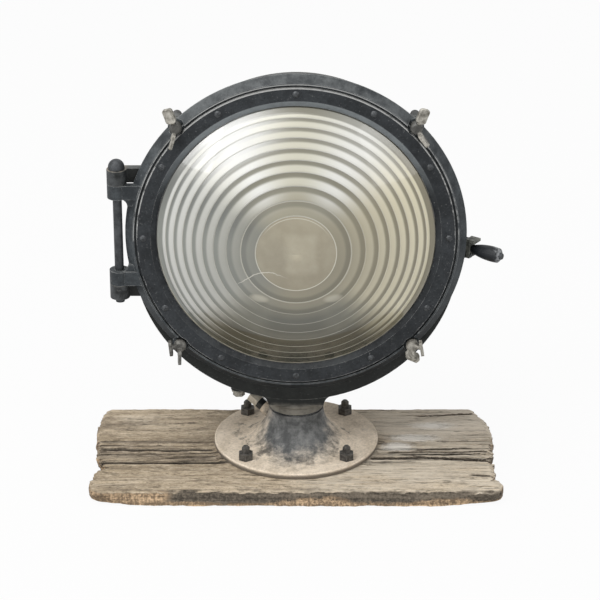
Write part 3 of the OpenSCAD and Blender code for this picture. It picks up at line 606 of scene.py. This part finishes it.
# Old putty along the rim at the bottom
putty = f.ramp(r + 0.0022 * (f.noise(150, 4, 0.6) - 0.5), 0.1660, 0.1668) * f.ramp(0 - height, -0.02, 0.12)
colour = f.mix(putty * 0.85, colour, f.mix(mist, (0.22, 0.20, 0.15), (0.62, 0.58, 0.47)))
normal = f.bump(slope, 0.0030, 0.45)
dress(f.surface(Base_Color=colour, Roughness=0.24, Normal=normal, Coat_Weight=0.8, Coat_Roughness=0.04,
                Transmission_Weight=0.10, IOR=1.5), "fresnel_lens")
print("lens dressed")

# %% [markdown]
# ## The weathered plank
# The lamp stands on an old plank. Its ends are ragged, its front edge slopes, and long splits run with
# the grain. A fine grid is pulled down to the plank's thickness with the extrude operator, and bored for the
# bolts. Then each point is moved: the sides follow the worn outline, and the splits are pressed into the
# top. Nothing rises above the CAD board, so the foot of the lamp still sits flat on it.

# %% Plank outline and splits
BOARD_LOW, BOARD_HIGH = (Vector(corner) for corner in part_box("mounting_board"))
BOARD_SIZE = BOARD_HIGH - BOARD_LOW
FOOT_R = 0.108
# How far the worn ends lie inside the CAD board, by depth along Y
LEFT_END = [(-0.136, 0.001), (-0.104, 0.004), (-0.086, 0.009), (-0.078, 0.018), (-0.062, 0.006),
            (-0.033, 0.005), (0.010, 0.001), (0.038, 0.001), (0.077, 0.0065), (0.092, 0.010)]
RIGHT_END = [(-0.136, 0.002), (-0.125, 0.003), (-0.115, 0.0085), (-0.049, 0.009), (0.010, 0.005),
             (0.038, 0.0085), (0.058, 0.011), (0.072, 0.020), (0.092, 0.026)]
LONG_SPLIT = [(-0.257, -0.057), (-0.120, -0.058), (0.005, -0.052), (0.156, -0.042), (0.257, -0.054)]
SHORT_SPLIT = [(-0.257, -0.020), (-0.151, -0.025), (-0.090, -0.022)]
# Each split: its line, half its width and its depth
SPLITS = [(LONG_SPLIT, 0.0030, 0.0090), (SHORT_SPLIT, 0.0022, 0.0045),
          ([(0.105, -0.030), (0.257, -0.027)], 0.0018, 0.0028),
          ([(0.112, -0.036), (0.257, -0.034)], 0.0017, 0.0025),
          ([(0.140, -0.023), (0.236, -0.019)], 0.0016, 0.0022),
          ([(0.150, 0.070), (0.238, 0.077)], 0.0020, 0.0045),
          ([(-0.240, 0.045), (-0.110, 0.052)], 0.0014, 0.0018),
          ([(-0.200, -0.094), (-0.178, -0.092)], 0.0018, 0.0034),
          ([(0.212, -0.090), (0.252, -0.092)], 0.0030, 0.0050)]


def along(line, place):
    """Value of a bent line at a place."""
    for (a, first), (b, second) in zip(line, line[1:]):
        if place <= b:
            return first + (second - first) * max(0.0, (place - a) / (b - a))
    return line[-1][1]


def grain(x, y, across, lengthways):
    """Smooth waves that run with the grain, from -1 to 1."""
    return noise.noise(Vector((x * lengthways, y * across, 0.37)))


def split_depth(x, y):
    """How deep the splits are at a point."""
    deepest = 0.0
    for line, half, depth in SPLITS:
        first, last = line[0][0], line[-1][0]
        if first <= x <= last:
            gap = abs(y - along(line, x) - 0.0022 * grain(x, first, 9, 38))
            fade = min(1.0, (x - first + 0.004) / 0.03, (last - x + 0.004) / 0.03)
            deepest = max(deepest, fade * depth * max(0.0, 1 - gap / half))
    return deepest


def torn(x, y):
    """1 in the torn strip between the two splits at the left."""
    low, high = along(LONG_SPLIT, x), along(SHORT_SPLIT, x)
    inside = min(y - low, high - y) / 0.006
    return max(0.0, min(1.0, inside)) * max(0.0, min(1.0, (-0.085 - x) / 0.03))


print("board:", tuple(BOARD_LOW), tuple(BOARD_HIGH))

# %% Model the plank
GRID_LONG, GRID_DEEP, LAYERS = 170, 176, 6
bpy.ops.object.select_all(action="DESELECT")
bpy.ops.mesh.primitive_grid_add(x_subdivisions=GRID_LONG, y_subdivisions=GRID_DEEP, size=1)
plank = bpy.context.object
plank.name = "weathered_plank"
plank.scale = (BOARD_SIZE.x, BOARD_SIZE.y, 1)
plank.location = ((BOARD_LOW.x + BOARD_HIGH.x) / 2, (BOARD_LOW.y + BOARD_HIGH.y) / 2, BOARD_HIGH.z)
bpy.ops.object.transform_apply(location=True, rotation=True, scale=True)
bpy.ops.object.mode_set(mode="EDIT")
bpy.ops.mesh.select_all(action="SELECT")
drop = (BOARD_LOW.z - BOARD_HIGH.z) / LAYERS
for layer in range(LAYERS):
    bpy.ops.mesh.extrude_region_move(TRANSFORM_OT_translate={"value": (0, 0, drop)})
bpy.ops.mesh.select_all(action="SELECT")
bpy.ops.mesh.normals_make_consistent(inside=False)
bpy.ops.object.mode_set(mode="OBJECT")
print("plank points:", len(plank.data.vertices))

# %% Bore the plank for its bolts
HEAD_R, HEAD_DEPTH, BORE_R = 0.01224, 0.008, 0.0055
BOLT_HALF = 0.0630
OVERSHOOT = 0.01
cutters = []
for side in (-1, 1):
    for row in (-1, 1):
        for radius, top in ((HEAD_R, HEAD_DEPTH), (BORE_R, BOARD_HIGH.z + OVERSHOOT)):
            place = (side * BOLT_HALF, row * BOLT_HALF, top / 2 - OVERSHOOT / 2)
            bpy.ops.object.select_all(action="DESELECT")
            bpy.ops.mesh.primitive_cylinder_add(vertices=40, radius=radius, depth=top + OVERSHOOT,
                                                location=place)
            cutters.append(bpy.context.object)
for cutter in cutters:
    bore = plank.modifiers.new("bore", "BOOLEAN")
    bore.operation = "DIFFERENCE"
    bore.object = cutter
    bpy.context.view_layer.objects.active = plank
    bpy.ops.object.modifier_apply(modifier=bore.name)
    bpy.data.objects.remove(cutter)
print("bored faces:", len(plank.data.polygons))

# %% How the plank is worn
LEAST_INSET, MEAN_RAGGED = 0.0006, 0.0036
CORNER_LONG, CORNER_DEEP = 0.016, 0.013
UNDERCUT_LONG, UNDERCUT_DEEP = 0.075, 0.013
END_WEAR, END_WEAR_LONG = 0.0035, 0.006
LIP_WEAR, LIP_WEAR_LONG = 0.0050, 0.014
# The wear along X and Y starts outside the bolts and is full some way further out
FREE_X, FREE_FRONT, FREE_BACK = (0.110, 0.080), (0.077, 0.030), (0.0765, 0.0135)


def limit(value):
    """The value, kept between 0 and 1."""
    return min(1.0, max(0.0, value))


def worn_ends(y, z, height, share_y):
    """Where the left and the right end lie."""
    ragged = 0.0022 * (1 + grain(y, z, 60, 170)) + 0.0015 * (1 - height) * (1 + grain(y, z, 200, 60))
    ragged += 0.0014 * (1 + grain(y, z, 150, 430)) + 0.006 * max(0.0, grain(y, 0.5, 40, 75) - 0.15)
    ragged *= 0.35 + 0.65 * min(1.0, share_y / 0.10)
    left = BOARD_LOW.x + max(LEAST_INSET, along(LEFT_END, y) + ragged - MEAN_RAGGED)
    right = BOARD_HIGH.x - max(LEAST_INSET, along(RIGHT_END, y) + ragged - MEAN_RAGGED)
    return left, right


def worn_edges(x, z, height):
    """Where the front and the back edge lie."""
    to_end = min(x - BOARD_LOW.x, BOARD_HIGH.x - x)
    front = BOARD_LOW.y + 0.0040 * height ** 1.5 + 0.0012 * (1 + grain(x, z, 90, 25))
    front += 0.0010 * (1 + grain(x, z, 320, 110)) + 0.004 * max(0.0, grain(x, z, 120, 34) - 0.2)
    tip = max(0.0, 1 - to_end / CORNER_LONG)
    undercut = max(0.0, 1 - to_end / UNDERCUT_LONG) ** 1.4 * (1 - height) ** 1.3
    front += CORNER_DEEP * (1 - math.sqrt(max(0.0, 1 - tip * tip))) + UNDERCUT_DEEP * undercut
    back = BOARD_HIGH.y - 0.0016 * (1 + grain(x, z, 60, 55)) - 0.0010 * (1 + grain(x, z, 20, 160))
    return front, back


def freedom(x, y):
    """How much of the wear along X and Y a point takes, so that the bores stay round."""
    start, fade = FREE_X
    free_x = limit((abs(x) - start) / fade)
    start, fade = FREE_BACK if y > 0 else FREE_FRONT
    return free_x, max(free_x, limit((abs(y) - start) / fade))


def top_wear(x, y, share_x, share_y):
    """How deep the top is worn, and how dark a split is there."""
    strip = torn(x, y)
    rough = 0.0006 * (1 + grain(x, y, 240, 14)) + 0.0005 * (1 + grain(x, y, 90, 8))
    rough += strip * (0.0012 + 0.0016 * abs(grain(x, y, 330, 30)))
    deep = split_depth(x, y)
    worn = END_WEAR * max(0.0, 1 - min(share_x, 1 - share_x) * BOARD_SIZE.x / END_WEAR_LONG)
    lip = max(0.0, 1 - share_y * BOARD_SIZE.y / LIP_WEAR_LONG) ** 2
    worn = max(worn, (LIP_WEAR + 0.0022 * grain(x, 0.3, 1, 22)) * lip)
    worn *= 0.7 + 0.9 * max(0.0, grain(x, y, 60, 60)) + 0.3 * grain(x, y, 200, 190)
    return rough + deep + worn, min(1.0, deep / 0.0035 + 0.35 * strip)


print("wear ready")

# %% Wear the plank
split_mark = plank.data.attributes.new("split", "FLOAT", "POINT")
for point in plank.data.vertices:
    x, y, z = point.co
    share_x = (x - BOARD_LOW.x) / BOARD_SIZE.x
    share_y = (y - BOARD_LOW.y) / BOARD_SIZE.y
    height = (z - BOARD_LOW.z) / BOARD_SIZE.z
    left, right = worn_ends(y, z, height, share_y)
    front, back = worn_edges(x, z, height)
    free_x, free_y = freedom(x, y)
    point.co.x += free_x * (left + share_x * (right - left) - x)
    point.co.y += free_y * (front + share_y * (back - front) - y)
    # The lower front edge is splintered, and the top is worn outside the foot of the lamp
    if height < 0.01 and share_y < 0.02:
        lift = 0.0008 * (1 + grain(x, 0.2, 1, 60)) + 0.0006 * (1 + grain(x, 0.7, 1, 210))
        point.co.z += min(0.0034, lift + 0.02 * max(0.0, abs(x) - 0.175))
    if height > 0.01:
        x, y = point.co.x, point.co.y
        free = limit((math.hypot(x, y) - FOOT_R + 0.006) / 0.01)
        depth, darkness = top_wear(x, y, share_x, share_y)
        point.co.z -= height * free * depth
        if height > 0.99:
            split_mark.data[point.index].value = free * darkness
bpy.ops.object.select_all(action="DESELECT")
plank.select_set(True)
bpy.context.view_layer.objects.active = plank
bpy.ops.object.shade_smooth_by_angle(angle=math.radians(40))
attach(plank, "base")
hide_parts("mounting_board")
print("plank faces:", len(plank.data.polygons))

# %% [markdown]
# ## Grey wood
# Sun and salt took the colour out of the wood. Fine lines of soft and hard grain alternate, the splits are
# black, and fresh tan wood shows where the front edge broke off. The splits come from the attribute that
# was written with them, and the rest comes from noise that is stretched along the grain.

# %% Wood finish
# Each spot of lime: its place along X and Y, and half its length
LIME_SPOTS = ((0.175, 0.044, 0.048), (0.149, 0.010, 0.050), (0.128, -0.014, 0.032))
LIME_DEEP = 0.017
f = Finish("weathered_wood")
wide = f.noise(26, 5, 0.6, (0.10, 1.0, 1.0))
fibre = f.noise(150, 6, 0.68, (0.045, 1.0, 1.0))
hair = f.noise(520, 4, 0.6, (0.03, 1.0, 1.0))
pits = f.noise(260, 4, 0.65, (0.20, 1.0, 1.0))
stain = f.noise(15, 6, 0.68, (0.45, 1.0, 1.0))
patch = f.noise(8, 4, 0.55, (0.55, 1.0, 1.0))
speck = f.noise(330, 3, 0.6)
granule = f.noise(430, 5, 0.72, (0.50, 1.0, 1.0))
mottle = f.noise(165, 5, 0.72, (0.38, 1.0, 1.0))
x, y, z = f.place(0), f.place(1), f.place(2)
colour = f.mix(f.ramp(wide, 0.33, 0.66), (0.35, 0.277, 0.186), (0.59, 0.484, 0.350))
strip = f.ramp(0.036 - abs(y + 0.028), 0.0, 0.010)
colour = f.mix(f.ramp(fibre, 0.42, 0.62) * (0.36 + 0.46 * strip), colour, (0.150, 0.118, 0.085))
colour = f.mix(f.ramp(granule, 0.53, 0.64) * 0.70, colour, (0.130, 0.100, 0.070))
colour = f.mix(f.ramp(granule, 0.47, 0.33) * 0.40, colour, (0.74, 0.62, 0.480))
cracked = f.math("MAXIMUM", strip, f.ramp(x, 0.05, 0.11) * f.ramp(0.055 - abs(y - 0.020), 0.0, 0.02) * 0.35)
fissure = f.ramp(f.noise(210, 6, 0.74, (0.028, 1.0, 1.0)), 0.545, 0.600) * cracked
colour = f.mix(fissure * 0.85, colour, (0.045, 0.036, 0.027))
colour = f.mix(f.ramp(hair, 0.50, 0.68) * 0.38, colour, (0.69, 0.592, 0.468))
colour = f.mix(f.ramp(mottle, 0.52, 0.64) * 0.50, colour, (0.150, 0.116, 0.080))
colour = f.mix(f.ramp(mottle, 0.47, 0.36) * 0.35, colour, (0.78, 0.665, 0.510))
pale = f.ramp(patch + 0.5 * x, 0.48, 0.66) * f.ramp(hair, 0.32, 0.58)
colour = f.mix(pale * 0.66, colour, (0.73, 0.655, 0.540))
corner = f.ramp(x, 0.05, 0.13) * f.ramp(y, -0.005, 0.03) * f.ramp(0.6 * hair + 0.4 * wide, 0.30, 0.56)
colour = f.mix(corner * 0.8, colour, (0.73, 0.65, 0.540))
colour = f.mix(f.ramp(stain - 0.25 * x, 0.55, 0.72) * 0.5, colour, (0.125, 0.100, 0.075))
colour = f.mix(f.ramp(pits, 0.57, 0.69) * (0.40 + 0.40 * strip), colour, (0.070, 0.055, 0.040))
lime = 0.0
for across, deep, length in LIME_SPOTS:
    dx, dy = (x - across) / length, (y - deep) / LIME_DEEP
    spot = 0.9 * (patch - 0.5) + 1.3 * (granule - 0.5) + 1 - (dx * dx + dy * dy) ** 0.5
    lime = f.math("MAXIMUM", f.ramp(spot, 0.15, 0.70), lime)
colour = f.mix(lime * 0.9, colour, (0.88, 0.83, 0.750))
colour = f.mix(f.ramp(speck, 0.66, 0.80) * 0.55, colour, (0.10, 0.08, 0.06))
ends = f.ramp(abs(f.facing(0)), 0.45, 0.75)
end_grain = f.ramp(0.5 * fibre + 0.5 * speck, 0.38, 0.60)
end_grain = f.mix(end_grain, (0.43, 0.30, 0.19), (0.085, 0.066, 0.048))
colour = f.mix(ends * 0.8, colour, end_grain)
front = f.ramp(0 - f.facing(1), 0.28, 0.62)
fresh = 0.0055 + 0.040 * (stain - 0.46) + 0.014 * (fibre - 0.5) + 0.010 * (speck - 0.5) - z
fresh = f.ramp(fresh, -0.002, 0.002)
fresh = f.math("MAXIMUM", fresh, f.ramp(0 - x + 0.03 * wide, 0.165, 0.185) * f.ramp(0 - z, -0.0205, -0.015))
ticks = f.noise(300, 4, 0.65, (1.0, 0.3, 0.12))
tan = f.ramp(0.35 * fibre + 0.30 * ticks + 0.35 * speck, 0.42, 0.56)
tan = f.mix(tan, (0.66, 0.470, 0.295), (0.215, 0.155, 0.100))
dark = f.mix(f.ramp(0.5 * fibre + 0.5 * speck, 0.36, 0.64), (0.060, 0.050, 0.039), (0.215, 0.180, 0.138))
colour = f.mix(front, colour, f.mix(fresh, dark, tan))
split = f.add("ShaderNodeAttribute", {"attribute_name": "split"}, output="Fac")
colour = f.mix(f.ramp(split + 0.35 * (fibre - 0.5), 0.12, 0.75), colour, (0.028, 0.023, 0.018))
relief = 0.45 * fibre + 0.3 * hair - 0.35 * granule - 0.4 * mottle
relief = relief - 0.5 * f.ramp(pits, 0.55, 0.70) - 0.8 * fissure
normal = f.bump(relief, 0.0028, 0.9)
plank.data.materials.clear()
plank.data.materials.append(f.surface(Base_Color=colour, Roughness=0.80 + 0.12 * fibre, Normal=normal,
                                      Specular_IOR_Level=0.25))
print("plank finished")

# %% [markdown]
# ## Wing screws
# Four forged wing screws clamp the door. Bare metal, thick ears and soft corners: that is clay work rather
# than exact geometry, so a boss, a shank and two ears are put together from shaped primitives, and a voxel
# remesh with a few passes of smoothing melts them into one casting. Years of use have bent the ears of each
# screw in its own way, so one function makes all four from their own bends.

# %% Bars and ears of a wing screw
EAR_CORNER, EAR_LONG, EAR_WIDE = 0.0040, 0.0056, 0.0025
EAR_RIM = 0.0022
ROOT_SIZE, ROOT_LEAN, ROOT_BEVEL = (0.0150, 0.0068, 0.0054), 35, 0.0014
# A bar: radius, start, end, and the share of its front that stays flat
BOSS, SHANK = (0.0074, -0.0060, 0.0044, 0.72), (0.0049, 0.0030, 0.0174, 0.80)
VOXEL, SMOOTH_PASSES = 0.0005, 6


def round_bar(radius, start, end, tip):
    """A bar along Y whose front edge is bevelled."""
    bpy.ops.object.select_all(action="DESELECT")
    bpy.ops.mesh.primitive_cylinder_add(vertices=40, radius=radius, depth=end - start,
                                        rotation=(math.pi / 2, 0, 0), location=(0, (start + end) / 2, 0))
    bar = bpy.context.object
    bpy.ops.object.transform_apply(location=True, rotation=True, scale=True)
    bpy.ops.object.mode_set(mode="EDIT")
    bpy.ops.mesh.select_all(action="DESELECT")
    bpy.ops.object.mode_set(mode="OBJECT")
    for face in bar.data.polygons:
        face.select = face.normal.y < -0.9
    bpy.ops.object.mode_set(mode="EDIT")
    bpy.ops.mesh.inset(thickness=radius * (1 - tip))
    bpy.ops.transform.translate(value=(0, -radius * 0.35, 0))
    bpy.ops.object.mode_set(mode="OBJECT")
    return bar


def ear(side, reach, rise, thick, tilt, bend):
    """One ear: a short root and a dished paddle with round ends, bent towards local Z."""
    bpy.ops.object.select_all(action="DESELECT")
    bpy.ops.mesh.primitive_cube_add(size=1, location=(side * reach * 0.46, rise * 0.50, 0))
    root = bpy.context.object
    root.scale = ROOT_SIZE
    root.rotation_euler = (0, 0, side * math.radians(-ROOT_LEAN))
    bpy.ops.object.transform_apply(location=True, rotation=True, scale=True)
    bpy.ops.object.mode_set(mode="EDIT")
    bpy.ops.mesh.select_all(action="SELECT")
    bpy.ops.mesh.bevel(offset=ROOT_BEVEL, segments=2)
    bpy.ops.object.mode_set(mode="OBJECT")
    bpy.ops.object.select_all(action="DESELECT")
    bpy.ops.mesh.primitive_cylinder_add(vertices=38, radius=EAR_CORNER, depth=thick)
    paddle = bpy.context.object
    for point in paddle.data.vertices:
        turn = math.atan2(point.co.y, point.co.x) + 0.01
        point.co.x += math.copysign(EAR_LONG, math.cos(turn))
        point.co.y += math.copysign(EAR_WIDE, math.sin(turn))
    for face in paddle.data.polygons:
        face.select = abs(face.normal.z) > 0.9
    bpy.ops.object.mode_set(mode="EDIT")
    bpy.ops.mesh.inset(thickness=EAR_RIM, depth=-0.15 * thick, use_individual=True)
    bpy.ops.object.mode_set(mode="OBJECT")
    paddle.rotation_euler = [math.radians(angle) for angle in tilt]
    paddle.location = (side * reach, rise, 0)
    bpy.ops.object.transform_apply(location=True, rotation=True, scale=True)
    for piece in (root, paddle):
        piece.data.transform(Matrix.Rotation(math.radians(-side * bend), 4, "Y"))
    return [root, paddle]


def wing_form(name, right, left, bend):
    """One wing screw on its own axis, melted into a single casting."""
    pieces = [round_bar(*BOSS), round_bar(*SHANK)]
    pieces += ear(1, *right, bend) + ear(-1, *left, bend)
    bpy.ops.object.select_all(action="DESELECT")
    for piece in pieces:
        piece.select_set(True)
    bpy.context.view_layer.objects.active = pieces[0]
    bpy.ops.object.join()
    cast = bpy.context.object
    melt = cast.modifiers.new("melt", "REMESH")
    melt.mode = "VOXEL"
    melt.voxel_size = VOXEL
    bpy.ops.object.modifier_apply(modifier=melt.name)
    soften = cast.modifiers.new("soften", "SMOOTH")
    soften.factor = 0.5
    soften.iterations = SMOOTH_PASSES
    bpy.ops.object.modifier_apply(modifier=soften.name)
    bpy.ops.object.shade_smooth()
    bpy.ops.mesh.separate(type="LOOSE")
    crumbs = sorted(bpy.context.selected_objects, key=lambda crumb: len(crumb.data.polygons))
    cast = crumbs.pop()
    for crumb in crumbs:
        bpy.data.objects.remove(crumb)
    cast.name = name
    return cast


print("helpers ready")

# %% Model and place the four wing screws
CLAMP_R = 0.202
# An ear: reach, rise, thickness and tilt of its paddle
BROAD = (0.0200, -0.0132, 0.0050, (75, 0, 0))
NARROW = (0.0142, -0.0120, 0.0040, (6, 0, 0))
SHORT = (0.0112, -0.0120, 0.0042, (6, 0, 0))
CROSS = (0.0112, -0.0115, 0.0042, (0, 82, 0))
LEANING = (0.0100, -0.0125, 0.0056, (0, 129, 30))
# Each screw: place on the door, turn at rest, its two ears, how far they are bent, and its metal
WINGS = {"tl": (-135, -91.5, BROAD, NARROW, 18, alloy_dark_behind),
         "tr": (-45, 82, NARROW, BROAD, 28, alloy_dark_behind),
         "bl": (135, -133, CROSS, SHORT, 45, dull_alloy),
         "br": (45, 133, LEANING, CROSS, 45, bare_alloy)}
for corner, (side, turn, right, left, bend, metal) in WINGS.items():
    wing = wing_form("wing_" + corner + "_cast", right, left, bend)
    spoke = Matrix.Rotation(math.radians(side), 4, "Y") @ Vector((CLAMP_R, 0, 0))
    centre = spoke + Vector((0, LENS_Y, AXIS_Z))
    wing.data.transform(Matrix.Translation(centre) @ Matrix.Rotation(math.radians(turn), 4, "Y"))
    wing.data.materials.append(metal)
    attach(wing, "wing_" + corner)
    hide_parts("wing_screw_" + corner)
    print("wing screw", corner, "faces:", len(wing.data.polygons))

# %% [markdown]
# ## Plain view
# The view stays plain, so that a colour looks as it is written.

# %% Finish
bpy.context.scene.view_settings.view_transform = "Standard"
